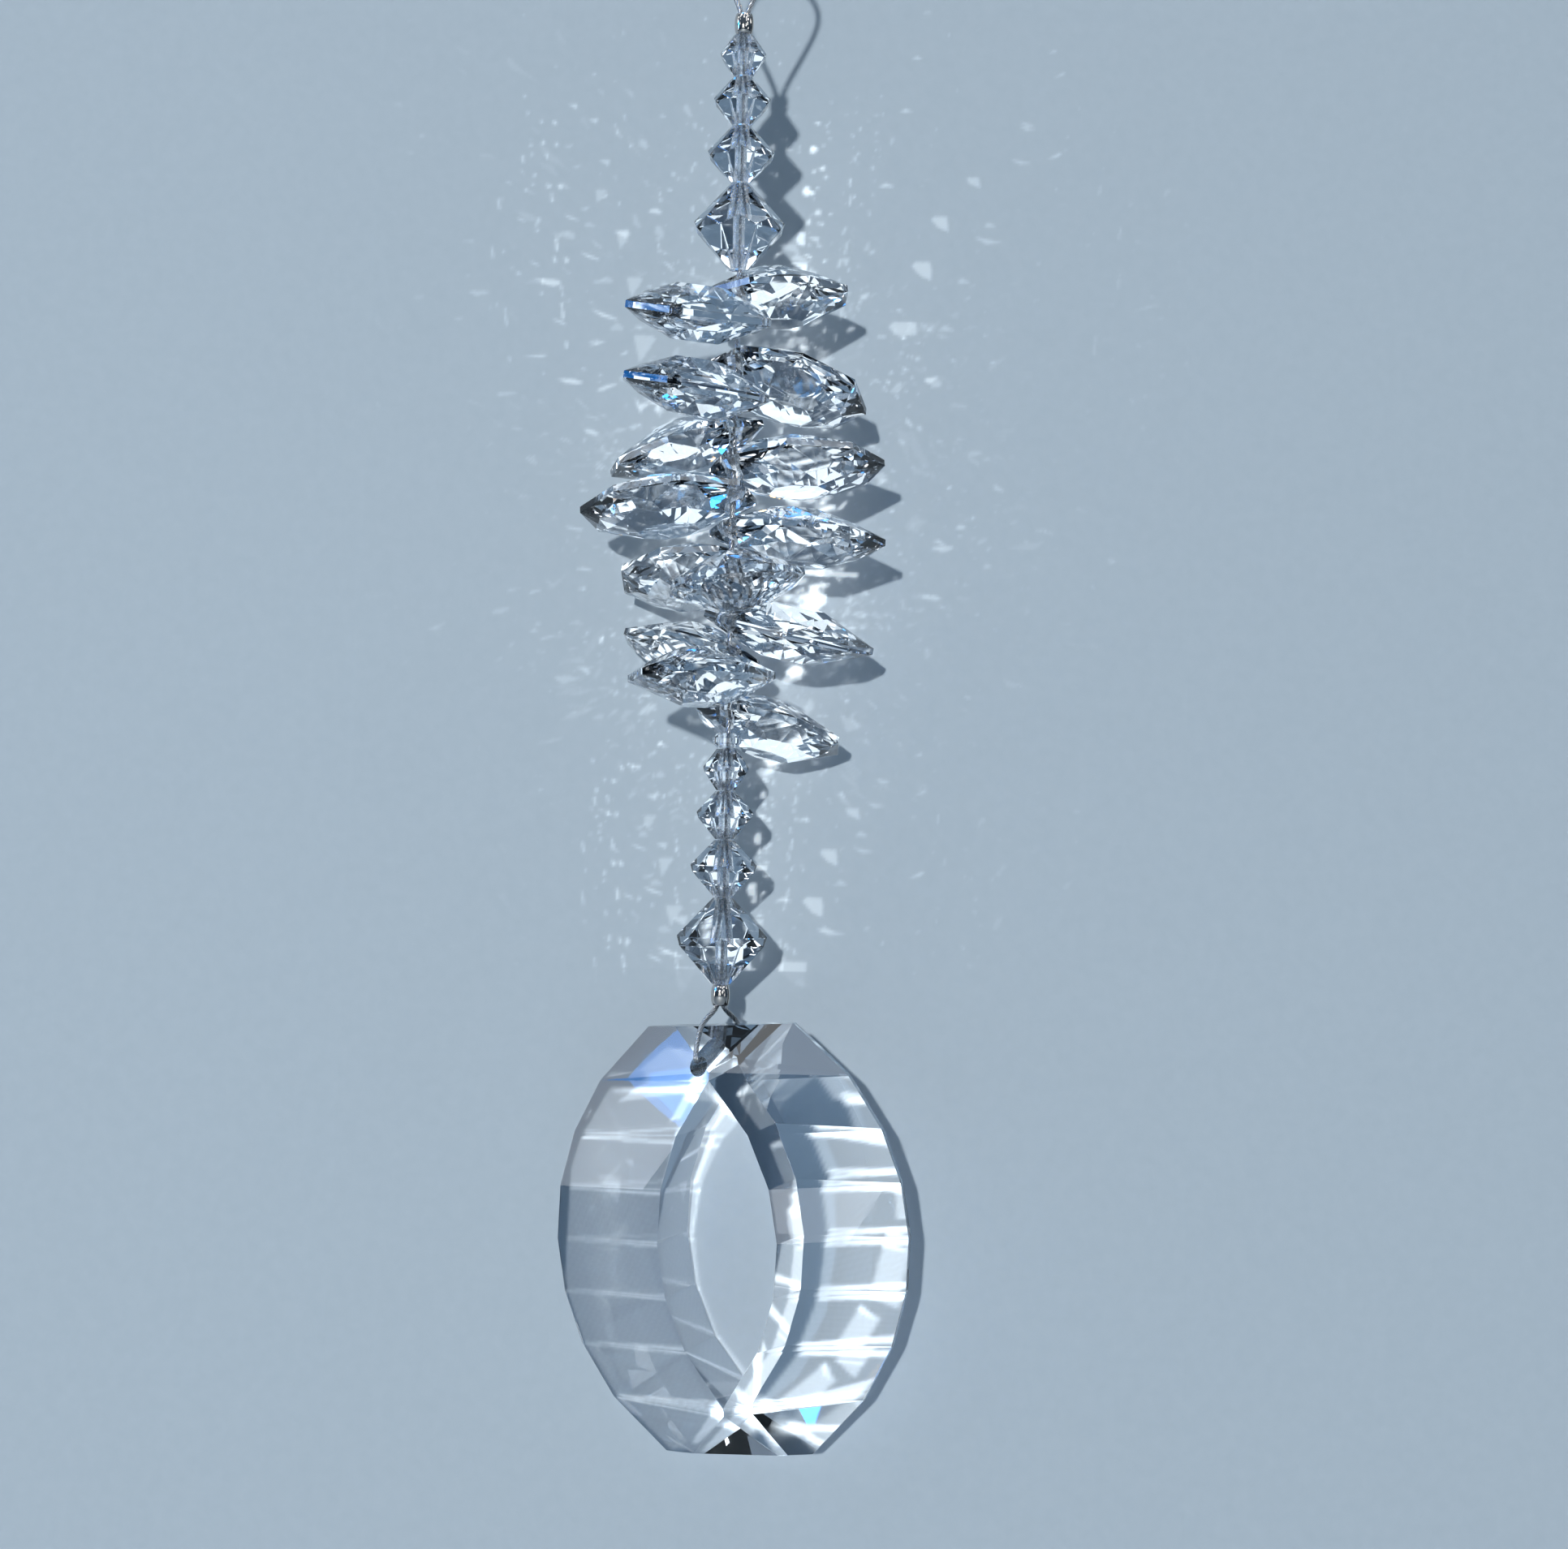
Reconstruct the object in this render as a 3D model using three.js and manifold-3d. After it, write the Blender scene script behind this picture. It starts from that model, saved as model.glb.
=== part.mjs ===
// A crystal suncatcher: bicone beads, a cluster of long octagons drilled near one end and a large
// oval ring, all of cut crystal, on one beading wire with a loop and a crimp bead at each end.
// Millimetres, +Z up. The origin is the inner top of the hanging loop, where a hook carries it,
// and -Y is the front.
import * as THREE from "three";
import { ConvexGeometry } from "three/addons/geometries/ConvexGeometry.js";
import { mergeVertices } from "three/addons/utils/BufferGeometryUtils.js";
import Module from "manifold-3d";

const wasm = await Module();
wasm.setup();

// The wire and its two loops
const wireDiameter = 0.5;
const wireSides = 8;
const wireStep = 0.6;
const strandGap = 0.08;
const hangingLoop = { inside: 6.4, height: 11, arcSteps: 8 };
const pendantLoop = { play: 0.25, spread: 1.1, drop: 5.3, aside: -0.75 };

// The crimp beads, and the clearance between pieces that touch
const crimpBead = { diameter: 1.75, length: 1.9, play: 0.06, faceDiameter: 1.45, sides: 20 };
const seat = 0.06;

// The bicone beads, smallest first
const largestBicone = { across: 8.3, length: 7.9 };
const biconeShares = [
  { across: 0.506, length: 0.481 },
  { across: 0.627, length: 0.557 },
  { across: 0.735, length: 0.658 },
  { across: 1, length: 1 },
];
const bicones = biconeShares.map((share) => ({
  across: share.across * largestBicone.across,
  length: share.length * largestBicone.length,
}));
const biconeCut = { sides: 8, neck: 1.8, beadHole: 1.1, girdleWave: 0.05 };
const spacerBead = { across: 2.7, length: 1.4, faceDiameter: 1.6, sides: 10 };

// The long octagons of the cluster, drilled near one end
const octagon = { length: 15.5, width: 11.6, thickness: 5, girdle: 0.6 };
const octagonTableShare = { length: 0.348, width: 0.31 };
const octagonStarShare = { length: 0.723, width: 0.707, rise: 0.26 };
const octagonHole = { diameter: 1.7, fromEnd: 1.5, sides: 12 };
const octagonSides = 8;

// How each octagon of the cluster sits, from the top: its drop on the wire from the one above, in
// shares of the pitch, and in degrees its turn from the right towards the back, the droop of its
// tip and its roll
const clusterPitch = 2.5;
const cluster = [
  { drop: 0.64, turn: 55, droop: -1, roll: -8 },
  { drop: 1.12, turn: -123, droop: 4, roll: -10 },
  { drop: 1.6, turn: 38, droop: 16, roll: -13 },
  { drop: 1.24, turn: -123, droop: 0, roll: -9 },
  { drop: 1.16, turn: 138, droop: 14, roll: -7 },
  { drop: 1.28, turn: 21, droop: 0, roll: -17 },
  { drop: 1.16, turn: 164, droop: 9, roll: 16 },
  { drop: 1.28, turn: 16, droop: 4, roll: -7 },
  { drop: 1.12, turn: 127, droop: 12, roll: 14 },
  { drop: 1.16, turn: -84, droop: -5, roll: 7 },
  { drop: 1, turn: 28, droop: 8, roll: 11 },
  { drop: 1.28, turn: 124, droop: -3, roll: 17 },
  { drop: 1.04, turn: -111, droop: -3, roll: 5 },
  { drop: 1, turn: 51, droop: 14, roll: 1 },
];
const clusterFoot = 1.95;

// The oval ring. It hangs turned, with its right side towards the front.
const ring = { height: 38.8, width: 33.8, endWidth: 14, rim: 0.8, thickness: 8, bands: 8 };
const ringBevel = { width: 8.1, drop: 4 };
const ringOpening = { endWall: 4.7, width: 11.4 };
const ringDrill = { diameter: 1.8, belowTop: 3.5, left: 1.2, sides: 20 };
const ringLean = 4.1;
const ringTurn = 18;

const radians = THREE.MathUtils.degToRad;

// Joining and cutting, on solids
function solidFrom(geometry) {
  const bare = geometry.index ? geometry.toNonIndexed() : geometry.clone();
  bare.deleteAttribute("normal");
  bare.deleteAttribute("uv");
  const merged = mergeVertices(bare, 1e-4);
  return new wasm.Manifold(
    new wasm.Mesh({
      numProp: 3,
      vertProperties: merged.attributes.position.array,
      triVerts: new Uint32Array(merged.index.array),
    }),
  );
}

function geometryFrom(solid) {
  const mesh = solid.getMesh();
  const geometry = new THREE.BufferGeometry();
  geometry.setAttribute("position", new THREE.BufferAttribute(mesh.vertProperties, 3));
  geometry.setIndex(new THREE.BufferAttribute(mesh.triVerts, 1));
  const flat = geometry.toNonIndexed();
  flat.computeVertexNormals();
  return flat;
}

// A ring of points round the Z axis
function pointRing(count, radius, height, turn = 0) {
  return Array.from({ length: count }, (_, i) => {
    const angle = turn + (i * 2 * Math.PI) / count;
    return new THREE.Vector3(radius * Math.cos(angle), radius * Math.sin(angle), height);
  });
}

// A drill bit along Z, or along Y for the ring
function drill(diameter, length, sides, alongY = false) {
  const bit = new THREE.CylinderGeometry(diameter / 2, diameter / 2, length, sides);
  if (!alongY) bit.rotateX(Math.PI / 2);
  return bit;
}

// A bicone bead on the Z axis: facets from each neck to a girdle that waves up and down
function biconeGeometry({ across, length }) {
  const { sides, neck, beadHole, girdleWave } = biconeCut;
  const halfFacet = Math.PI / sides;
  const wave = across * girdleWave;
  const body = new ConvexGeometry([
    ...pointRing(sides, neck / 2, length / 2),
    ...pointRing(sides, across / 2, wave),
    ...pointRing(sides, across / 2, -wave, halfFacet),
    ...pointRing(sides, neck / 2, -length / 2, halfFacet),
  ]);
  return geometryFrom(solidFrom(body).subtract(solidFrom(drill(beadHole, 2 * length, 12))));
}

// The eight corners of a long octagon at one height, with flats at its two ends. A share makes it
// smaller than the whole crystal.
function octagonRing(height, share = { length: 1, width: 1 }, turn = 0) {
  const toCorner = 1 / Math.cos(Math.PI / octagonSides);
  const corners = pointRing(octagonSides, toCorner / 2, height, Math.PI / octagonSides + turn);
  const size = new THREE.Vector3(octagon.length * share.length, octagon.width * share.width, 1);
  return corners.map((p) => p.multiply(size));
}

// A long octagon with a hole near one end. The hole is at the origin, and the crystal reaches
// along +X.
function octagonGeometry() {
  const half = Math.PI / octagonSides;
  const faces = [1, -1].flatMap((side) => [
    ...octagonRing((side * octagon.girdle) / 2),
    ...octagonRing(side * octagon.thickness * octagonStarShare.rise, octagonStarShare, half),
    ...octagonRing((side * octagon.thickness) / 2, octagonTableShare),
  ]);
  const body = new ConvexGeometry(faces);
  body.translate(octagon.length / 2 - octagonHole.fromEnd, 0, 0);
  const bit = drill(octagonHole.diameter, 2 * octagon.thickness, octagonHole.sides);
  return geometryFrom(solidFrom(body).subtract(solidFrom(bit)));
}

// The small round bead under the cluster, with flat faces
function spacerGeometry() {
  const { across, length, faceDiameter, sides } = spacerBead;
  const body = new ConvexGeometry([
    ...pointRing(sides, faceDiameter / 2, length / 2),
    ...pointRing(sides, across / 2, length / 6),
    ...pointRing(sides, across / 2, -length / 6),
    ...pointRing(sides, faceDiameter / 2, -length / 2),
  ]);
  return geometryFrom(solidFrom(body).subtract(solidFrom(drill(biconeCut.beadHole, 2 * length, 12))));
}

// A crimp bead: a round barrel with flat faces and a hole for two strands
const crimpHole = 2 * wireDiameter + strandGap + 2 * crimpBead.play;
function crimpGeometry() {
  const { diameter, length, faceDiameter, sides } = crimpBead;
  const bulge = new THREE.QuadraticBezierCurve(
    new THREE.Vector2(faceDiameter / 2, -length / 2),
    new THREE.Vector2(diameter - faceDiameter / 2, 0),
    new THREE.Vector2(faceDiameter / 2, length / 2),
  );
  const outline = [
    new THREE.Vector2(crimpHole / 2, -length / 2),
    ...bulge.getPoints(10),
    new THREE.Vector2(crimpHole / 2, length / 2),
    new THREE.Vector2(crimpHole / 2, -length / 2),
  ];
  return new THREE.LatheGeometry(outline, sides).rotateX(Math.PI / 2);
}

// The half width of an arc that is halfWidth wide at the middle and endHalfWidth at the ends
function arcHalfWidth(level, halfWidth, endHalfWidth, halfHeight) {
  const rise = halfWidth - endHalfWidth;
  const radius = (halfHeight ** 2 + rise ** 2) / (2 * rise);
  return halfWidth - radius + Math.sqrt(radius ** 2 - level ** 2);
}

const ringLevels = Array.from(
  { length: ring.bands + 1 },
  (_, i) => ring.height / 2 - (i * ring.height) / ring.bands,
);
const ringReach = (level) =>
  arcHalfWidth(level, ring.width / 2, ring.endWidth / 2, ring.height / 2);
const ringSlope = (ring.thickness - ring.rim) / (ring.width - ringOpening.width);

// How far out the middle of an end bevel lies, at a depth below the end
const ringBevelFace = (below) => {
  const atEnd = ringReach(ring.height / 2) - ringBevel.width / 2;
  const atCrest = ringReach(ring.height / 2 - ringBevel.drop);
  return ring.rim / 2 + ringSlope * THREE.MathUtils.lerp(atEnd, atCrest, below / ringBevel.drop);
};

// The oval ring about its centre: flat bands that rise from a thin rim towards the middle, front
// and back, with a bevel at each end and a pointed opening through it
function ringGeometry() {
  const rim = ring.rim / 2;
  const top = ring.height / 2;
  const height = (reach, x) => rim + ringSlope * (reach - Math.abs(x));
  const blank = ringLevels.flatMap((level) => {
    const reach = ringReach(level);
    const atEnd = Math.abs(level) > top - 0.01;
    const crest = atEnd ? ringBevel.width / 2 : 0;
    return [1, -1].flatMap((side) => [
      new THREE.Vector3(side * reach, rim, level),
      new THREE.Vector3(side * reach, -rim, level),
      new THREE.Vector3(crest, side * height(reach, crest), level),
      new THREE.Vector3(-crest, side * height(reach, crest), level),
    ]);
  });
  const crestEnd = top - ringBevel.drop;
  for (const level of [crestEnd, -crestEnd]) {
    const deep = height(ringReach(level), 0);
    blank.push(new THREE.Vector3(0, deep, level), new THREE.Vector3(0, -deep, level));
  }
  const tip = ring.height / 2 - ringOpening.endWall;
  const openingLevels = ringLevels.filter((level) => Math.abs(level) < tip - ring.rim);
  const right = openingLevels.map(
    (level) => new THREE.Vector2(arcHalfWidth(level, ringOpening.width / 2, 0, tip), level),
  );
  const left = [...right].reverse().map((p) => new THREE.Vector2(-p.x, p.y));
  const outline = [new THREE.Vector2(0, tip), ...right, new THREE.Vector2(0, -tip), ...left];
  const depth = 2 * ring.width;
  const opening = new THREE.ExtrudeGeometry(new THREE.Shape(outline), {
    depth,
    bevelEnabled: false,
  });
  opening.translate(0, 0, -depth / 2).rotateX(Math.PI / 2);
  const bit = drill(ringDrill.diameter, depth, ringDrill.sides, true);
  bit.translate(-ringDrill.left, 0, top - ringDrill.belowTop);
  return geometryFrom(
    solidFrom(new ConvexGeometry(blank)).subtract(solidFrom(opening)).subtract(solidFrom(bit)),
  );
}

// Levels along the wire, from the top down
const strandX = (wireDiameter + strandGap) / 2;
const topCrimpLevel = -hangingLoop.height - crimpBead.length / 2;
let level = topCrimpLevel - crimpBead.length / 2;
const placed = [];

function threadBead(name, size) {
  level -= seat + size.length / 2;
  placed.push({ name, size, level });
  level -= size.length / 2;
}

bicones.forEach((size, i) => threadBead(`upper_bicone_${i + 1}`, size));
const octagonLevels = cluster.map(({ drop }) => (level -= drop * clusterPitch));
level -= clusterFoot;
threadBead("spacer_bead", spacerBead);
bicones.forEach((size, i) => threadBead(`lower_bicone_${i + 1}`, size));
const bottomCrimpLevel = level - seat - crimpBead.length / 2;
const drillLevel = bottomCrimpLevel - crimpBead.length / 2 - pendantLoop.drop;

// The round part of the hanging loop, from where the right strand meets it to the left strand
function hangingArc() {
  const radius = (hangingLoop.inside + wireDiameter) / 2;
  const centre = -hangingLoop.inside / 2;
  const tangent = Math.acos(radius / (hangingLoop.height + centre));
  const sweep = 2 * (Math.PI - tangent);
  return Array.from({ length: hangingLoop.arcSteps + 1 }, (_, i) => {
    const angle = tangent + (i * sweep) / hangingLoop.arcSteps;
    return new THREE.Vector3(radius * Math.sin(angle), 0, centre - radius * Math.cos(angle));
  });
}

// The wire: its tail in the upper crimp, round the hanging loop, down through every bead, through
// the drilled hole of the ring and back up into the lower crimp
function wirePoints() {
  const point = (x, y, z) => new THREE.Vector3(x, y, z);
  const half = crimpBead.length / 2;
  const upper = [
    point(strandX, 0, topCrimpLevel),
    point(strandX, 0, topCrimpLevel + half),
    ...hangingArc(),
    point(-strandX, 0, topCrimpLevel + half),
    point(-strandX, 0, topCrimpLevel),
  ];
  const run = [
    point(0, 0, topCrimpLevel - half - 1),
    point(0, 0, (topCrimpLevel + bottomCrimpLevel) / 2),
    point(0, 0, bottomCrimpLevel + half + 1),
  ];
  const seatInDrill = drillLevel + (ringDrill.diameter - wireDiameter) / 2 - strandGap;
  const ringTop = drillLevel + ringDrill.belowTop;
  const { play, spread, aside } = pendantLoop;
  const outside = wireDiameter / 2 + play;
  const atTop = ringBevelFace(0) + outside;
  const atDrill = ringBevelFace(ringDrill.belowTop) + outside;
  const lower = [
    point(-strandX, 0, bottomCrimpLevel),
    point(-strandX, 0, bottomCrimpLevel - half),
    point(-spread, -atTop, ringTop),
    point(aside, -atDrill, drillLevel + wireDiameter),
    point(aside, -atDrill * 0.75, seatInDrill),
    point(aside, 0, seatInDrill),
    point(aside, atDrill * 0.75, seatInDrill),
    point(aside, atDrill, drillLevel + wireDiameter),
    point(spread, atTop, ringTop),
    point(strandX, 0, bottomCrimpLevel - half),
    point(strandX, 0, bottomCrimpLevel),
  ].map((p) => p.applyAxisAngle(new THREE.Vector3(0, 0, 1), -radians(ringTurn)));
  return [...upper, ...run, ...lower];
}

function wireGeometry() {
  const path = new THREE.CatmullRomCurve3(wirePoints(), false, "centripetal");
  path.arcLengthDivisions = 4000;
  const section = new THREE.Shape(
    pointRing(wireSides, wireDiameter / 2, 0).map((p) => new THREE.Vector2(p.x, p.y)),
  );
  return new THREE.ExtrudeGeometry(section, {
    steps: Math.ceil(path.getLength() / wireStep),
    bevelEnabled: false,
    extrudePath: path,
  });
}

// Materials
const crystal = new THREE.MeshStandardMaterial({ color: 0xdfe8ee, roughness: 0.02, metalness: 0 });
crystal.transparent = true;
crystal.opacity = 0.4;
const coatedWire = new THREE.MeshStandardMaterial({ color: 0xb9bec2, roughness: 0.3, metalness: 0.8 });
const silver = new THREE.MeshStandardMaterial({ color: 0xd8d6d2, roughness: 0.12, metalness: 1 });

// The suncatcher
const suncatcher = new THREE.Group();

function place(name, geometry, material, level = 0) {
  const mesh = new THREE.Mesh(geometry, material.clone());
  mesh.name = name;
  mesh.position.z = level;
  suncatcher.add(mesh);
  return mesh;
}

place("beading_wire", wireGeometry(), coatedWire);
place("upper_crimp_bead", crimpGeometry(), silver, topCrimpLevel);
place("lower_crimp_bead", crimpGeometry(), silver, bottomCrimpLevel);
for (const { name, size, level } of placed) {
  place(name, size === spacerBead ? spacerGeometry() : biconeGeometry(size), crystal, level);
}

const octagonShape = octagonGeometry();
cluster.forEach(({ turn, droop, roll }, i) => {
  const name = `octagon_${String(i + 1).padStart(2, "0")}`;
  const mesh = place(name, octagonShape, crystal, octagonLevels[i]);
  mesh.rotation.set(radians(roll), radians(droop), radians(turn), "ZYX");
});

const ringHolder = new THREE.Group();
const ringSwivel = new THREE.Group();
ringHolder.position.set(pendantLoop.aside, 0, drillLevel);
ringHolder.rotation.y = -radians(ringLean);
ringSwivel.rotation.z = -radians(ringTurn);
const ringMesh = place("oval_ring", ringGeometry(), crystal, ringDrill.belowTop - ring.height / 2);
ringMesh.position.x = ringDrill.left;
ringHolder.add(ringMesh);
ringSwivel.add(ringHolder);
suncatcher.add(ringSwivel);

export default suncatcher;
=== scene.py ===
import math

import bmesh
import bpy
import numpy
from mathutils import Matrix, Vector
from mathutils.bvhtree import BVHTree


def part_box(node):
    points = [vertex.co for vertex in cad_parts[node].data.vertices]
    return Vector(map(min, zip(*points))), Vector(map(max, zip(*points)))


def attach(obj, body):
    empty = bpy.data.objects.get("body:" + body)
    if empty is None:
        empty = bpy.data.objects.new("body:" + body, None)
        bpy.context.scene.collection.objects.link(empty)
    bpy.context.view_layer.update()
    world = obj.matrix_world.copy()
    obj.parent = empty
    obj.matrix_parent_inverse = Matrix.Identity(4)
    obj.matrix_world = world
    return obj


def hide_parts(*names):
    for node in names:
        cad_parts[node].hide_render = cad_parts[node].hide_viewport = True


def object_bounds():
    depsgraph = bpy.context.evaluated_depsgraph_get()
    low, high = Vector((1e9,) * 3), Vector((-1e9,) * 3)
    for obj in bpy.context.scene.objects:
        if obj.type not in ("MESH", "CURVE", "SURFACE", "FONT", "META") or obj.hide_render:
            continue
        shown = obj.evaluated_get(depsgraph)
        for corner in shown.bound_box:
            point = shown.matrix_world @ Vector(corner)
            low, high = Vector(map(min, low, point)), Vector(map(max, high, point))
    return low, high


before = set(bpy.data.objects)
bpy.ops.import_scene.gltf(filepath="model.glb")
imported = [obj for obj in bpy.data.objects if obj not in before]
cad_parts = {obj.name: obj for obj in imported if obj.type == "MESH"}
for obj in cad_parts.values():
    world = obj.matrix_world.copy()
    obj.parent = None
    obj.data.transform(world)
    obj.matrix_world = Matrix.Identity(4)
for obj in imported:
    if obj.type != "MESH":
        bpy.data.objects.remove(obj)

mm = 0.001
cadBox = [list(corner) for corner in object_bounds()]
scene = bpy.context.scene
print("frame loaded:", len(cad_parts), "solids")


# The camera stands in front of the string, as the photograph was taken

cameraLook = {
    "imageSize": (1932, 1909),
    "pixelsPerMm": 13.5,
    "distance": 260 * mm,
    "sensor": 36,
    "nearest": 10 * mm,
    "crimpPixel": (917, 30),     # the middle of the upper crimp bead in the photograph
    "lean": 1.4,                 # how far the string leans in the picture, in degrees
}


def makeCamera():
    look = cameraLook
    wide, high = look["imageSize"]
    scale = mm / look["pixelsPerMm"]
    low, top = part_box("upper_crimp_bead")
    crimp = (low + top) / 2
    right = (wide / 2 - look["crimpPixel"][0]) * scale
    down = (high / 2 - look["crimpPixel"][1]) * scale
    roll = math.radians(look["lean"])
    x = crimp.x + right * math.cos(roll) + down * math.sin(roll)
    z = crimp.z - down * math.cos(roll) + right * math.sin(roll)
    data = bpy.data.cameras.new("camera")
    data.sensor_width = look["sensor"]
    data.lens = look["sensor"] * look["distance"] / (wide * scale)
    data.clip_start = look["nearest"]
    camera = bpy.data.objects.new("camera", data)
    scene.collection.objects.link(camera)
    turn = Matrix.Rotation(math.pi / 2, 4, "X") @ Matrix.Rotation(roll, 4, "Z")
    camera.matrix_world = Matrix.Translation((x, -look["distance"], z)) @ turn
    scene.camera = camera


makeCamera()
print("camera placed")


# Small helpers for materials and pieces

def newMaterial(name):
    material = bpy.data.materials.new(name)
    material.use_nodes = True
    return material, material.node_tree, material.node_tree.nodes["Principled BSDF"]


def addNode(tree, kind, **values):
    node = tree.nodes.new(kind)
    for key, value in values.items():
        setattr(node, key, value)
    return node


def finishPiece(mesh, name, materials, nodeNames):
    piece = bpy.data.objects.new(name, mesh)
    scene.collection.objects.link(piece)
    for material in materials:
        mesh.materials.append(material)
    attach(piece, "root")
    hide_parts(*nodeNames)


# Handling marks: faint smudges and hairline scratches, for every polished surface

marksLook = {
    "smudgeDetail": 3,
    "smudgeFrom": 0.5,           # noise below this is clean
    "smudgeFull": 0.75,
    "hairScale": 4000,
    "hairDetail": 1,
}


def makeHandlingMarks():
    look = marksLook
    group = bpy.data.node_groups.new("handlingMarks", "ShaderNodeTree")
    face = group.interface
    for name, value in {"Clean": 0.0, "Smudged": 0.05, "Smudge Size": 400.0}.items():
        face.new_socket(name, in_out="INPUT", socket_type="NodeSocketFloat").default_value = value
    face.new_socket("Roughness", in_out="OUTPUT", socket_type="NodeSocketFloat")
    face.new_socket("Height", in_out="OUTPUT", socket_type="NodeSocketFloat")
    start = addNode(group, "NodeGroupInput")
    end = addNode(group, "NodeGroupOutput")
    place = addNode(group, "ShaderNodeTexCoord")
    smudge = addNode(group, "ShaderNodeTexNoise")
    smudge.inputs["Detail"].default_value = look["smudgeDetail"]
    hair = addNode(group, "ShaderNodeTexNoise")
    hair.inputs["Scale"].default_value = look["hairScale"]
    hair.inputs["Detail"].default_value = look["hairDetail"]
    spread = addNode(group, "ShaderNodeMapRange", clamp=True)
    spread.inputs["From Min"].default_value = look["smudgeFrom"]
    spread.inputs["From Max"].default_value = look["smudgeFull"]
    link = group.links.new
    link(place.outputs["Object"], smudge.inputs["Vector"])
    link(start.outputs["Smudge Size"], smudge.inputs["Scale"])
    link(place.outputs["Object"], hair.inputs["Vector"])
    link(smudge.outputs["Fac"], spread.inputs["Value"])
    link(start.outputs["Clean"], spread.inputs["To Min"])
    link(start.outputs["Smudged"], spread.inputs["To Max"])
    link(spread.outputs["Result"], end.inputs["Roughness"])
    link(hair.outputs["Fac"], end.inputs["Height"])
    return group


handlingMarks = makeHandlingMarks()


def wearMarks(tree, shader, roughness, size, bumpDepth):
    clean, smudged = roughness
    marks = addNode(tree, "ShaderNodeGroup", node_tree=handlingMarks)
    marks.inputs["Clean"].default_value = clean
    marks.inputs["Smudged"].default_value = smudged
    marks.inputs["Smudge Size"].default_value = size
    bump = addNode(tree, "ShaderNodeBump")
    bump.inputs["Distance"].default_value = bumpDepth
    tree.links.new(marks.outputs["Roughness"], shader.inputs["Roughness"])
    tree.links.new(marks.outputs["Height"], bump.inputs["Height"])
    tree.links.new(bump.outputs["Normal"], shader.inputs["Normal"])


# Cut crystal: polished facets, and the ground wall of a drilled hole

crystalLook = {
    "colour": (0.95, 0.975, 1.0, 1),
    "refraction": 1.56,
    "roughness": (0.0, 0.035),   # where clean, and where smudged
    "smudgeSize": 300,
    "wave": 0.00002 * mm,
    "drilledColour": (0.86, 0.9, 0.94, 1),
    "drilledRoughness": (0.22, 0.4),
    "drilledGrain": 2500,
    "drilledDepth": 0.002 * mm,
}


def crystalMaterial(name, colour, roughness, markSize, markDepth):
    material, tree, shader = newMaterial(name)
    shader.inputs["Base Color"].default_value = colour
    shader.inputs["IOR"].default_value = crystalLook["refraction"]
    shader.inputs["Transmission Weight"].default_value = 1
    wearMarks(tree, shader, roughness, markSize, markDepth)
    return material


cutCrystal = crystalMaterial(
    "cutCrystal",
    crystalLook["colour"],
    crystalLook["roughness"],
    crystalLook["smudgeSize"],
    crystalLook["wave"],
)
drilledWall = crystalMaterial(
    "drilledWall",
    crystalLook["drilledColour"],
    crystalLook["drilledRoughness"],
    crystalLook["drilledGrain"],
    crystalLook["drilledDepth"],
)


# Each crystal is its solid with the facet edges eased, and the wall of its hole ground

facetEdge = {
    "weld": 0.002 * mm,          # corners closer together than this become one
    "width": 0.045 * mm,
    "sharper": 9,                # edges flatter than this many degrees stay as they are
    "flat": 0.6,                 # faces within this many degrees of one plane become one facet
}
bores = {
    "boreReach": 1.3 * mm,       # how far the wall of a threaded hole lies from the string
    "drillReach": 1.0 * mm,      # and the wall of the ring's hole from its middle
    "drillAside": -0.75 * mm,    # where the ring's hole is, from the string
    "drillLevel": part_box("lower_crimp_bead")[0].z - 5.3 * mm,
    "ringTurn": 18,              # how far the ring's right side is turned to the front, in degrees
}


def solidCopy(nodeName):
    copy = bmesh.new()
    copy.from_mesh(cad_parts[nodeName].data)
    bmesh.ops.remove_doubles(copy, verts=copy.verts, dist=facetEdge["weld"])
    return copy


def inBore(point, alongY):
    if alongY:
        point = Matrix.Rotation(math.radians(bores["ringTurn"]), 3, "Z") @ point
        away = Vector((point.x - bores["drillAside"], point.z - bores["drillLevel"]))
        return away.length < bores["drillReach"]
    return Vector((point.x, point.y)).length < bores["boreReach"]


def cutPiece(nodeName, alongY=False):
    crystal = solidCopy(nodeName)
    bmesh.ops.dissolve_limit(
        crystal,
        angle_limit=math.radians(facetEdge["flat"]),
        verts=crystal.verts,
        edges=crystal.edges,
    )
    for face in crystal.faces:
        face.smooth = False
        face.material_index = int(all(inBore(vert.co, alongY) for vert in face.verts))
    sharp = math.radians(facetEdge["sharper"])
    eased = [
        edge
        for edge in crystal.edges
        if edge.calc_face_angle(0) > sharp
        and not all(face.material_index for face in edge.link_faces)
    ]
    bmesh.ops.bevel(
        crystal,
        geom=eased,
        offset=facetEdge["width"],
        segments=1,
        profile=0.5,
        affect="EDGES",
        clamp_overlap=True,
        material=-1,
    )
    mesh = bpy.data.meshes.new("cut_" + nodeName)
    crystal.to_mesh(mesh)
    crystal.free()
    finishPiece(mesh, "cut_" + nodeName, [cutCrystal, drilledWall], [nodeName])


threaded = sorted(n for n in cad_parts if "bicone" in n or "octagon" in n or "spacer" in n)
for nodeName in threaded:
    cutPiece(nodeName)
cutPiece("oval_ring", alongY=True)
print("crystals cut:", len(threaded) + 1)


# The beading wire: six strands twisted round a core, along the middle of its solid

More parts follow.
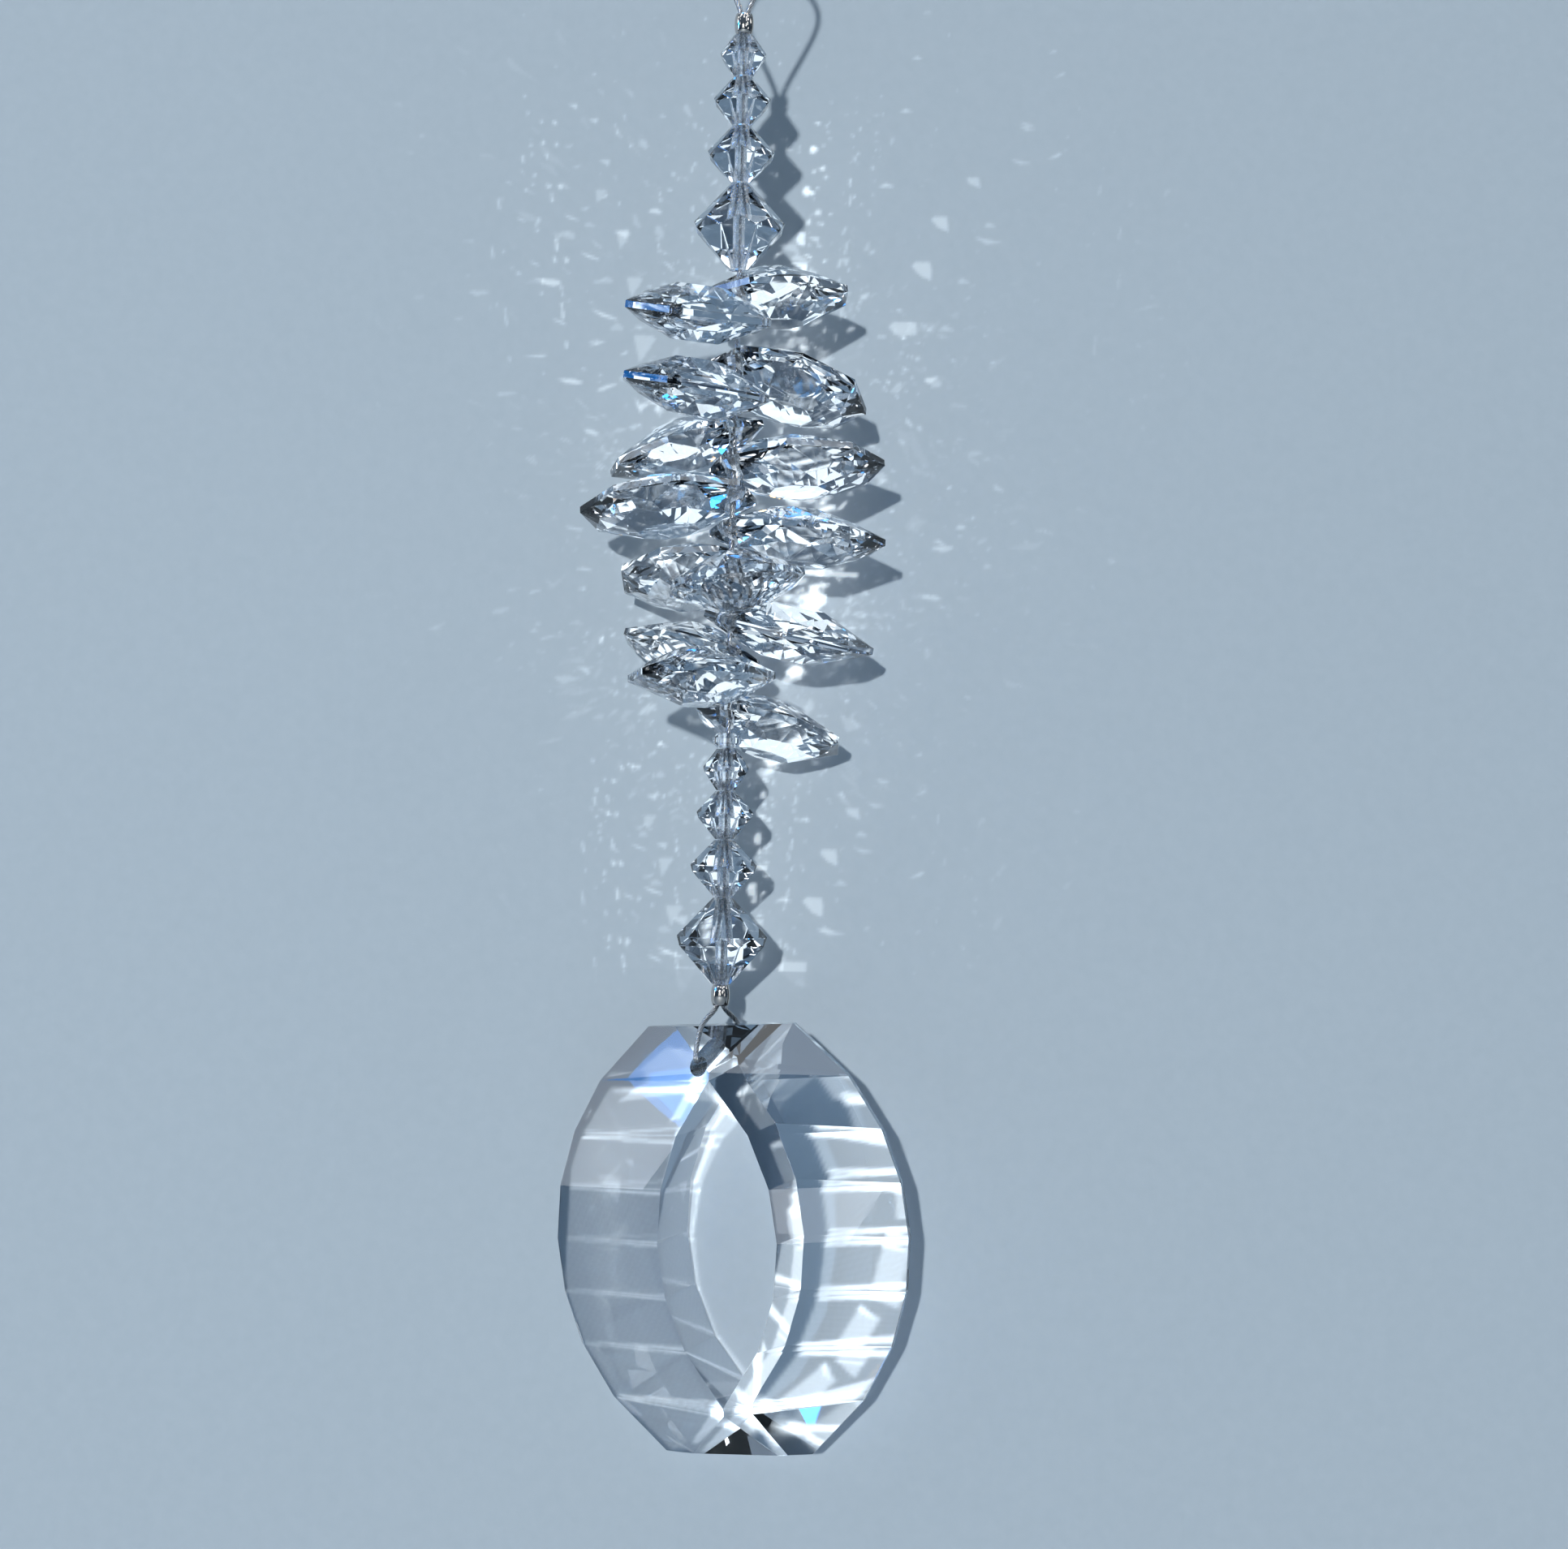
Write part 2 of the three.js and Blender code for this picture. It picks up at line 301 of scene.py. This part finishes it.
cable = {
    "diameter": 0.5 * mm,
    "strands": 6,
    "twist": 3.2 * mm,           # the length of one turn of a strand
    "stepsPerTwist": 12,
    "endWithin": 0.01 * mm,      # how level the solid's end is, where it is looked for
    "colour": (0.42, 0.44, 0.46, 1),
    "coat": 0.6,
    "coatRoughness": 0.08,
    "roughness": (0.22, 0.4),
    "grain": 900,
    "grainDepth": 0.004 * mm,
}


def wireMiddle():
    # the rings of vertices of the solid, one after another from the end in the upper crimp bead
    low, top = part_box("upper_crimp_bead")
    level = (low.z + top.z) / 2
    tube = solidCopy("beading_wire")
    ends = (v for v in tube.verts if abs(v.co.z - level) < cable["endWithin"])
    ring = {v for v in ends if v.co.x > 0}
    seen = set(ring)
    middle = []
    while ring:
        middle.append(sum((v.co for v in ring), Vector()) / len(ring))
        ring = {edge.other_vert(v) for v in ring for edge in v.link_edges} - seen
        seen |= ring
    tube.free()
    return middle


def evenly(points, step):
    spaced = [points[0]]
    left = step
    for a, b in zip(points, points[1:]):
        length = (b - a).length
        while left <= length:
            spaced.append(a.lerp(b, left / length))
            left += step
        left -= length
    return spaced


def strandLines(middle):
    step = cable["twist"] / cable["stepsPerTwist"]
    path = evenly(middle, step)
    strand = cable["diameter"] / 6           # half a strand's width, as three lie side by side
    lines = [path] + [[] for _ in range(cable["strands"])]
    side = Vector((0, 1, 0))
    for i, point in enumerate(path):
        ahead = (path[min(i + 1, len(path) - 1)] - path[max(i - 1, 0)]).normalized()
        side = (side - ahead * side.dot(ahead)).normalized()
        for k in range(cable["strands"]):
            turn = 2 * math.pi * (k / cable["strands"] + i / cable["stepsPerTwist"])
            out = Matrix.Rotation(turn, 3, ahead) @ side
            lines[k + 1].append(point + out * 2 * strand)
    return lines, strand


def wireMaterial():
    material, tree, shader = newMaterial("coatedSteel")
    shader.inputs["Base Color"].default_value = cable["colour"]
    shader.inputs["Metallic"].default_value = 1
    shader.inputs["Coat Weight"].default_value = cable["coat"]
    shader.inputs["Coat Roughness"].default_value = cable["coatRoughness"]
    wearMarks(tree, shader, cable["roughness"], cable["grain"], cable["grainDepth"])
    return material


def makeCable():
    lines, strand = strandLines(wireMiddle())
    curve = bpy.data.curves.new("cable", "CURVE")
    curve.dimensions = "3D"
    curve.bevel_depth = strand
    curve.bevel_resolution = 1
    curve.use_fill_caps = True
    for line in lines:
        spline = curve.splines.new("POLY")
        spline.points.add(len(line) - 1)
        for place, point in zip(spline.points, line):
            place.co = (*point, 1)
    shape = bpy.data.objects.new("cableCurve", curve)
    scene.collection.objects.link(shape)
    solved = shape.evaluated_get(bpy.context.evaluated_depsgraph_get())
    mesh = bpy.data.meshes.new_from_object(solved)
    bpy.data.objects.remove(shape)
    mesh.materials.clear()
    mesh.shade_smooth()
    finishPiece(mesh, "twisted_cable", [wireMaterial()], ["beading_wire"])


makeCable()
print("wire laid")


# The crimp beads: small polished barrels, rolled shut with a seam along one side

crimp = {
    "across": 1.75 * mm,
    "hole": 1.2 * mm,
    "faceAcross": 1.3 * mm,
    "lip": 0.05 * mm,
    "seam": 9,                   # the open seam, in degrees
    "seamTurn": 35,              # where the seam is, from the right towards the front
    "steps": 60,
    "bulgeStep": 12,             # in degrees, along the side
    "softEdge": 40,              # edges flatter than this are shaded round
    "colour": (0.6, 0.56, 0.52, 1),
    "roughness": (0.06, 0.2),
    "grain": 1500,
    "grainDepth": 0.003 * mm,
}


def silverMaterial():
    material, tree, shader = newMaterial("polishedSilver")
    shader.inputs["Base Color"].default_value = crimp["colour"]
    shader.inputs["Metallic"].default_value = 1
    wearMarks(tree, shader, crimp["roughness"], crimp["grain"], crimp["grainDepth"])
    return material


silver = silverMaterial()


def makeCrimp(nodeName):
    low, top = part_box(nodeName)
    centre = (low + top) / 2
    half = (top.z - low.z) / 2
    outer, inner, end = (crimp[k] / 2 for k in ("across", "hole", "faceAcross"))
    barrel = bmesh.new()
    bulge = [
        (end + (outer - end) * math.sqrt(max(0, 1 - t * t)), half * t)
        for t in (math.sin(math.radians(a)) for a in range(-90, 91, crimp["bulgeStep"]))
    ]
    outline = [(inner, -half + crimp["lip"])] + bulge + [(inner, half - crimp["lip"])]
    section = barrel.faces.new([barrel.verts.new((x, 0, z)) for x, z in outline])
    bmesh.ops.rotate(
        barrel,
        verts=barrel.verts,
        cent=(0, 0, 0),
        matrix=Matrix.Rotation(math.radians(crimp["seam"] / 2 - crimp["seamTurn"]), 3, "Z"),
    )
    bmesh.ops.spin(
        barrel,
        geom=[section, *section.edges, *section.verts],
        cent=(0, 0, 0),
        axis=(0, 0, 1),
        angle=math.radians(360 - crimp["seam"]),
        steps=crimp["steps"],
        use_merge=False,
    )
    bmesh.ops.recalc_face_normals(barrel, faces=barrel.faces)
    bmesh.ops.translate(barrel, verts=barrel.verts, vec=centre)
    for face in barrel.faces:
        face.smooth = True
    mesh = bpy.data.meshes.new("rolled_" + nodeName)
    barrel.to_mesh(mesh)
    barrel.free()
    mesh.set_sharp_from_angle(angle=math.radians(crimp["softEdge"]))
    finishPiece(mesh, "rolled_" + nodeName, [silver], [nodeName])


makeCrimp("upper_crimp_bead")
makeCrimp("lower_crimp_bead")
print("crimp beads rolled")


# Light: one clear key from the upper left, a soft window, and small bright and coloured lamps that
# the facets pick up as flashes

lightRig = {
    "aim": (2 * mm, 0, -80 * mm),
    "flashDistance": 0.7,
    "key": {
        "from": (-0.15, -1.0, 0.17),
        "distance": 1.1,
        "size": 0.03,
        "power": 8.2,
        "colour": (1, 0.985, 0.96),
    },
    "window": {
        "from": (-0.8, -0.5, 0.7),
        "distance": 1.2,
        "size": 0.4,
        "power": 0.1,
        "colour": (0.7, 0.85, 1),
    },
}
flashes = {                      # where from, how wide, the power and the colour
    "whiteOne": ((0.7, -0.6, 0.5), 0.05, 0.14, (1, 1, 1)),
    "whiteTwo": ((-0.7, -0.15, -0.8), 0.05, 0.14, (1, 1, 1)),
    "whiteThree": ((0.1, -0.5, 1.0), 0.08, 0.3, (1, 1, 1)),
    "whiteFour": ((0.3, -0.7, -0.8), 0.05, 0.14, (1, 1, 1)),
    "blueOne": ((-1.0, -0.35, 0.25), 0.24, 0.9, (0.03, 0.3, 1)),
    "blueTwo": ((0.85, -0.3, -0.35), 0.16, 0.35, (0.05, 0.35, 1)),
    "blueThree": ((-0.3, -0.25, -1.0), 0.22, 0.6, (0.03, 0.32, 1)),
    "blueFour": ((-0.25, -0.3, 1.0), 0.2, 0.5, (0.05, 0.4, 1)),
    "amber": ((0.4, -0.3, 0.9), 0.06, 0.12, (1, 0.55, 0.15)),
    "green": ((-0.5, -0.4, -0.9), 0.05, 0.08, (0.3, 1, 0.6)),
}


# The backdrop: one pale sheet that stands close behind the string and curves down to a floor

backdrop = {
    "behind": 13.1 * mm,         # how far behind the string it stands, at the foot of the cluster
    "level": -74 * mm,
    "lean": 8,                   # in degrees, closer to the string towards the ring
    "top": 400 * mm,
    "foot": -152 * mm,
    "floor": -240 * mm,
    "width": 2000 * mm,
    "depth": 1500 * mm,
    "curveSteps": 16,
    "colour": (0.4, 0.485, 0.56, 1),
    "fleck": (0.44, 0.525, 0.6, 1),
    "grain": 900,
    "grainDetail": 4,
    "roughness": 0.75,
    "gloss": 0.2,
    "paintedShadeThroughCrystal": (0.3, 0.38, 0.46, 1),   # painted shade: the sheet's colour is multiplied by this where it is seen through the crystals
}

paintedSplinters = {                # painted splinters of light: glowing cells on the sheet, seen only through the beads
    "shardScale": 420,
    "shardShare": 0.22,
    "shardLight": 1.15,
    "from": -99 * mm,            # none lower than this, behind the ring
}


def sheetDepth(z):
    lean = math.tan(math.radians(backdrop["lean"]))
    return backdrop["behind"] + (z - backdrop["level"]) * lean


# the sheet's material carries painted light and painted shade: it glows where the cast light and
# the splinters are painted, and its colour is darker where it is seen through the crystals
def backdropMaterial():
    material, tree, shader = newMaterial("paleSheet")
    place = addNode(tree, "ShaderNodeTexCoord")
    grain = addNode(tree, "ShaderNodeTexNoise")
    grain.inputs["Scale"].default_value = backdrop["grain"]
    grain.inputs["Detail"].default_value = backdrop["grainDetail"]
    blend = addNode(tree, "ShaderNodeMix", data_type="RGBA")
    blend.inputs["A"].default_value = backdrop["colour"]
    blend.inputs["B"].default_value = backdrop["fleck"]
    shader.inputs["Roughness"].default_value = backdrop["roughness"]
    shader.inputs["Specular IOR Level"].default_value = backdrop["gloss"]
    # painted light: the sheet glows in this colour where the cast light and the splinters are
    # painted
    shader.inputs["Emission Color"].default_value = paintedCastLight["colour"]
    cast = addNode(tree, "ShaderNodeAttribute", attribute_name="paintedCastLight")
    # painted splinters of light: the brightest Voronoi cells glow, only for rays that came through
    # a crystal
    shards = addNode(tree, "ShaderNodeTexVoronoi", feature="F1")
    shards.inputs["Scale"].default_value = paintedSplinters["shardScale"]
    shard = addNode(tree, "ShaderNodeSeparateColor")
    bright = addNode(tree, "ShaderNodeMath", operation="GREATER_THAN")
    bright.inputs[1].default_value = 1 - paintedSplinters["shardShare"]
    height = addNode(tree, "ShaderNodeSeparateXYZ")
    above = addNode(tree, "ShaderNodeMath", operation="GREATER_THAN")
    above.inputs[1].default_value = paintedSplinters["from"]
    both = addNode(tree, "ShaderNodeMath", operation="MULTIPLY")
    through = addNode(tree, "ShaderNodeMath", operation="MULTIPLY")
    total = addNode(tree, "ShaderNodeMath", operation="MULTIPLY_ADD")
    total.inputs[1].default_value = paintedSplinters["shardLight"]
    # painted shadow: the string's own shadow lies close behind it, so the sheet's colour is
    # painted darker where it is seen through the crystals
    seen = addNode(tree, "ShaderNodeLightPath")
    shade = addNode(tree, "ShaderNodeMix", data_type="RGBA", blend_type="MULTIPLY")
    shade.inputs["B"].default_value = backdrop["paintedShadeThroughCrystal"]
    # from behind, the sheet is clear, so that the back of the string can be looked at
    side = addNode(tree, "ShaderNodeNewGeometry")
    clear = addNode(tree, "ShaderNodeBsdfTransparent")
    choose = addNode(tree, "ShaderNodeMixShader")
    out = tree.nodes["Material Output"]
    link = tree.links.new
    link(place.outputs["Object"], grain.inputs["Vector"])
    link(grain.outputs["Fac"], blend.inputs["Factor"])
    link(place.outputs["Object"], shards.inputs["Vector"])
    link(place.outputs["Object"], height.inputs["Vector"])
    link(shards.outputs["Color"], shard.inputs["Color"])
    link(shard.outputs["Red"], bright.inputs[0])
    link(height.outputs["Z"], above.inputs[0])
    link(bright.outputs["Value"], both.inputs[0])
    link(above.outputs["Value"], both.inputs[1])
    link(both.outputs["Value"], through.inputs[0])
    link(seen.outputs["Is Transmission Ray"], through.inputs[1])
    # the glow strength: the painted cast light, plus the painted splinters where the sheet is seen
    # through a crystal
    link(through.outputs["Value"], total.inputs[0])
    link(cast.outputs["Fac"], total.inputs[2])
    link(total.outputs["Value"], shader.inputs["Emission Strength"])
    link(seen.outputs["Is Transmission Ray"], shade.inputs["Factor"])
    link(blend.outputs["Result"], shade.inputs["A"])
    link(shade.outputs["Result"], shader.inputs["Base Color"])
    link(side.outputs["Backfacing"], choose.inputs["Fac"])
    link(shader.outputs["BSDF"], choose.inputs[1])
    link(clear.outputs["BSDF"], choose.inputs[2])
    link(choose.outputs["Shader"], out.inputs["Surface"])
    return material


def makeBackdrop():
    size = backdrop
    foot = sheetDepth(size["foot"])
    profile = [(sheetDepth(size["top"]), size["top"]), (foot, size["foot"])]
    curve = size["foot"] - size["floor"]
    for i in range(1, size["curveSteps"] + 1):
        angle = math.pi / 2 * i / size["curveSteps"]
        forward, down = 1 - math.cos(angle), math.sin(angle)
        profile.append((foot - curve * forward, size["foot"] - curve * down))
    profile.append((-size["depth"], size["floor"]))
    sheet = bmesh.new()
    line = [sheet.verts.new((-size["width"] / 2, y, z)) for y, z in profile]
    edges = [sheet.edges.new(pair) for pair in zip(line, line[1:])]
    made = bmesh.ops.extrude_edge_only(sheet, edges=edges)["geom"]
    moved = [item for item in made if isinstance(item, bmesh.types.BMVert)]
    bmesh.ops.translate(sheet, verts=moved, vec=(size["width"], 0, 0))
    bmesh.ops.recalc_face_normals(sheet, faces=sheet.faces)
    if max(sheet.faces, key=lambda f: f.calc_center_median().z).normal.y > 0:
        bmesh.ops.reverse_faces(sheet, faces=sheet.faces)
    for face in sheet.faces:
        face.smooth = True
    mesh = bpy.data.meshes.new("backdrop")
    sheet.to_mesh(mesh)
    sheet.free()
    mesh.materials.append(paleSheet)
    sheetObject = bpy.data.objects.new("backdrop", mesh)
    scene.collection.objects.link(sheetObject)


# The light that the crystals throw on the backdrop, painted on it as glow: rays of the key light
# are followed through them, counted where they land, and a patch just in front of the sheet glows
# that much

paintedCastLight = {
    "raySpacing": 0.085 * mm,
    "cell": 0.22 * mm,
    "left": -36 * mm,
    "right": 44 * mm,
    "bottom": -160 * mm,
    "top": -4 * mm,
    "start": 60 * mm,            # how far in front the rays start
    "past": 0.002 * mm,          # how far past a surface they are taken up again
    "lift": 0.02 * mm,           # how far the patch of painted light lies in front of the sheet
    "surfaces": 7,               # a ray that meets more surfaces than this is given up
    "passes": 0.952,             # the share of the light that a polished surface lets through
    "steepest": 0.35,            # rays that meet the sheet flatter than this are left out
    "slantFade": 1.4,
    "brightness": 0.62,
    "underRing": 0.2,
    "ringContrast": 1.7,         # makes the brightest painted lines of light under the ring stand out
    "glow": 0.22,                # how much of the painted light spreads as a soft glowing haze
    "glowReach": 6 * mm,
    "colour": (0.86, 0.95, 1.0, 1),
}
keyTravel = -Vector(lightRig["key"]["from"]).normalized()


def lightBlockers():
    # the faces of the crystals come first, and whatever comes after them lets no light through
    points = []
    faces = []
    glassFaces = 0
    glass = threaded + ["oval_ring"]
    for nodeName in glass + ["beading_wire", "upper_crimp_bead", "lower_crimp_bead"]:
        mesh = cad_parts[nodeName].data
        first = len(points)
        points += [vert.co.copy() for vert in mesh.vertices]
        faces += [[first + i for i in face.vertices] for face in mesh.polygons]
        if nodeName in glass:
            glassFaces = len(faces)
    return BVHTree.FromPolygons(points, faces), glassFaces


def followRay(tree, glassFaces, start, direction):
    refraction = crystalLook["refraction"]
    weight = 0
    for _ in range(paintedCastLight["surfaces"]):
        hit, normal, face, _ = tree.ray_cast(start, direction)
        if hit is None:
            return start, direction, weight
        if face >= glassFaces:
            break
        weight = weight or 1
        ratio = 1 / refraction
        facing = -direction.dot(normal)
        if facing < 0:
            ratio, facing, normal = refraction, -facing, -normal
        through = 1 - ratio * ratio * (1 - facing * facing)
        if through < 0:
            direction = direction + 2 * facing * normal
        else:
            direction = direction * ratio + normal * (ratio * facing - math.sqrt(through))
            weight *= paintedCastLight["passes"] * (1 - (1 - min(facing, math.sqrt(through))) ** 5)
        start = hit + direction * paintedCastLight["past"]
    return start, direction, 0


def castOnSheet():
    size = paintedCastLight
    cell, spacing = size["cell"], size["raySpacing"]
    across = int((size["right"] - size["left"]) / cell)
    up = int((size["top"] - size["bottom"]) / cell)
    light = numpy.zeros((up + 2, across + 2))
    tree, glassFaces = lightBlockers()
    lean = math.tan(math.radians(backdrop["lean"]))
    low, high = (Vector(corner) for corner in cadBox)
    share = (spacing / cell) ** 2
    away = keyTravel * (size["start"] / keyTravel.y)
    for i in range(int((high.x - low.x) / spacing) + 1):
        for k in range(int((high.z - low.z) / spacing) + 1):
            start = Vector((low.x + i * spacing, 0, low.z + k * spacing)) - away
            start, direction, weight = followRay(tree, glassFaces, start, keyTravel)
            steep = direction.y - direction.z * lean
            if not weight or steep < size["steepest"]:
                continue
            weight *= min(1, steep * steep * size["slantFade"])
            landing = start + direction * ((sheetDepth(start.z) - start.y) / steep)
            x = (landing.x - size["left"]) / cell
            z = (landing.z - size["bottom"]) / cell
            if 1 < x < across - 1 and 1 < z < up - 1:
                column, row = int(x), int(z)
                dx, dz = x - column, z - row
                weight *= share
                light[row, column] += weight * (1 - dx) * (1 - dz)
                light[row, column + 1] += weight * dx * (1 - dz)
                light[row + 1, column] += weight * (1 - dx) * dz
                light[row + 1, column + 1] += weight * dx * dz
    return light, across, up


def softened(light):
    reach = int(paintedCastLight["glowReach"] / paintedCastLight["cell"])
    weights = numpy.hanning(2 * reach + 3)[1:-1]
    weights /= weights.sum()
    for axis in (0, 1):
        light = numpy.apply_along_axis(numpy.convolve, axis, light, weights, "same")
    return light


def makePaintedCastLight():
    size = paintedCastLight
    light, across, up = castOnSheet()
    light += size["glow"] * softened(light)
    patch = bmesh.new()
    bmesh.ops.create_grid(patch, x_segments=across, y_segments=up, size=0.5)
    # painted light: the glow strength at each corner of the patch, from the counted rays
    strengths = []
    for vert in patch.verts:
        column = round((vert.co.x + 0.5) * across)
        row = round((vert.co.y + 0.5) * up)
        z = size["bottom"] + row * size["cell"]
        if z > paintedSplinters["from"]:
            strengths.append(light[row, column] * size["brightness"])
        else:
            strengths.append(light[row, column] ** size["ringContrast"] * size["underRing"])
        vert.co = (size["left"] + column * size["cell"], sheetDepth(z) - size["lift"], z)
    bmesh.ops.recalc_face_normals(patch, faces=patch.faces)
    patch.faces.ensure_lookup_table()
    if patch.faces[0].normal.y > 0:
        bmesh.ops.reverse_faces(patch, faces=patch.faces)
    mesh = bpy.data.meshes.new("paintedThrownLight")
    patch.to_mesh(mesh)
    patch.free()
    mesh.attributes.new("paintedCastLight", "FLOAT", "POINT").data.foreach_set("value", strengths)
    mesh.materials.append(paleSheet)
    patchObject = bpy.data.objects.new("paintedThrownLight", mesh)
    scene.collection.objects.link(patchObject)


paleSheet = backdropMaterial()
makeBackdrop()
makePaintedCastLight()
print("backdrop hung")


# The lamps

def addLamp(name, comesFrom, distance, width, power, colour):
    data = bpy.data.lights.new(name, "AREA")
    data.shape = "DISK"
    data.size = width
    data.energy = power
    data.color = colour
    aim = Vector(lightRig["aim"])
    lamp = bpy.data.objects.new(name, data)
    scene.collection.objects.link(lamp)
    lamp.location = aim + Vector(comesFrom).normalized() * distance
    lamp.rotation_euler = (aim - lamp.location).to_track_quat("-Z", "Y").to_euler()
    return lamp


for name in ("key", "window"):
    look = lightRig[name]
    addLamp(name, look["from"], look["distance"], look["size"], look["power"], look["colour"])
for name, (comesFrom, width, power, colour) in flashes.items():
    flash = addLamp(name, comesFrom, lightRig["flashDistance"], width, power, colour)
    flash.visible_diffuse = False                # only the facets see them


room = {
    "gradient": {                # from straight down, 0, to straight up, 1
        0.0: (0.015, 0.03, 0.06, 1),
        0.35: (0.02, 0.035, 0.06, 1),
        0.55: (0.04, 0.065, 0.1, 1),
        0.8: (0.13, 0.18, 0.25, 1),
        1.0: (0.4, 0.5, 0.62, 1),
    },
    "paneScale": 7,
    "paneShare": 0.16,
    "paneColour": (2.6, 2.75, 2.9, 1),
    "behindSheet": (0.36, 0.43, 0.5, 1),
    "onSheet": (0.015, 0.05, 0.09, 1),       # what lights the sheet in place of the room
}


def makeWorld():
    world = bpy.data.worlds.new("room")
    scene.world = world
    world.use_nodes = True
    tree = world.node_tree
    background = tree.nodes["Background"]
    place = addNode(tree, "ShaderNodeTexCoord")
    split = addNode(tree, "ShaderNodeSeparateXYZ")
    ramp = addNode(tree, "ShaderNodeValToRGB")
    steps = ramp.color_ramp.elements
    (_, lowest), *between, (_, highest) = room["gradient"].items()
    steps[0].color, steps[1].color = lowest, highest
    for position, colour in between:
        steps.new(position).color = colour
    seen = addNode(tree, "ShaderNodeLightPath")
    mix = addNode(tree, "ShaderNodeMix", data_type="RGBA")
    mix.inputs["B"].default_value = room["behindSheet"]
    scaleUp = addNode(tree, "ShaderNodeMapRange")
    scaleUp.inputs["From Min"].default_value = -1
    link = tree.links.new
    link(place.outputs["Generated"], split.inputs["Vector"])
    link(split.outputs["Z"], scaleUp.inputs["Value"])
    link(scaleUp.outputs["Result"], ramp.inputs["Fac"])
    # scattered bright panes round the room, which single facets pick up
    panes = addNode(tree, "ShaderNodeTexVoronoi", feature="F1")
    panes.inputs["Scale"].default_value = room["paneScale"]
    pane = addNode(tree, "ShaderNodeSeparateColor")
    lit = addNode(tree, "ShaderNodeMath", operation="GREATER_THAN")
    lit.inputs[1].default_value = 1 - room["paneShare"]
    brighten = addNode(tree, "ShaderNodeMix", data_type="RGBA")
    brighten.inputs["B"].default_value = room["paneColour"]
    link(place.outputs["Generated"], panes.inputs["Vector"])
    link(panes.outputs["Color"], pane.inputs["Color"])
    link(pane.outputs["Red"], lit.inputs[0])
    link(lit.outputs["Value"], brighten.inputs["Factor"])
    link(ramp.outputs["Color"], brighten.inputs["A"])
    link(brighten.outputs["Result"], mix.inputs["A"])
    link(seen.outputs["Is Camera Ray"], mix.inputs["Factor"])
    fill = addNode(tree, "ShaderNodeMix", data_type="RGBA")
    fill.inputs["B"].default_value = room["onSheet"]
    link(seen.outputs["Is Diffuse Ray"], fill.inputs["Factor"])
    link(mix.outputs["Result"], fill.inputs["A"])
    link(fill.outputs["Result"], background.inputs["Color"])


makeWorld()
scene.view_settings.view_transform = "Standard"
print("lights set")
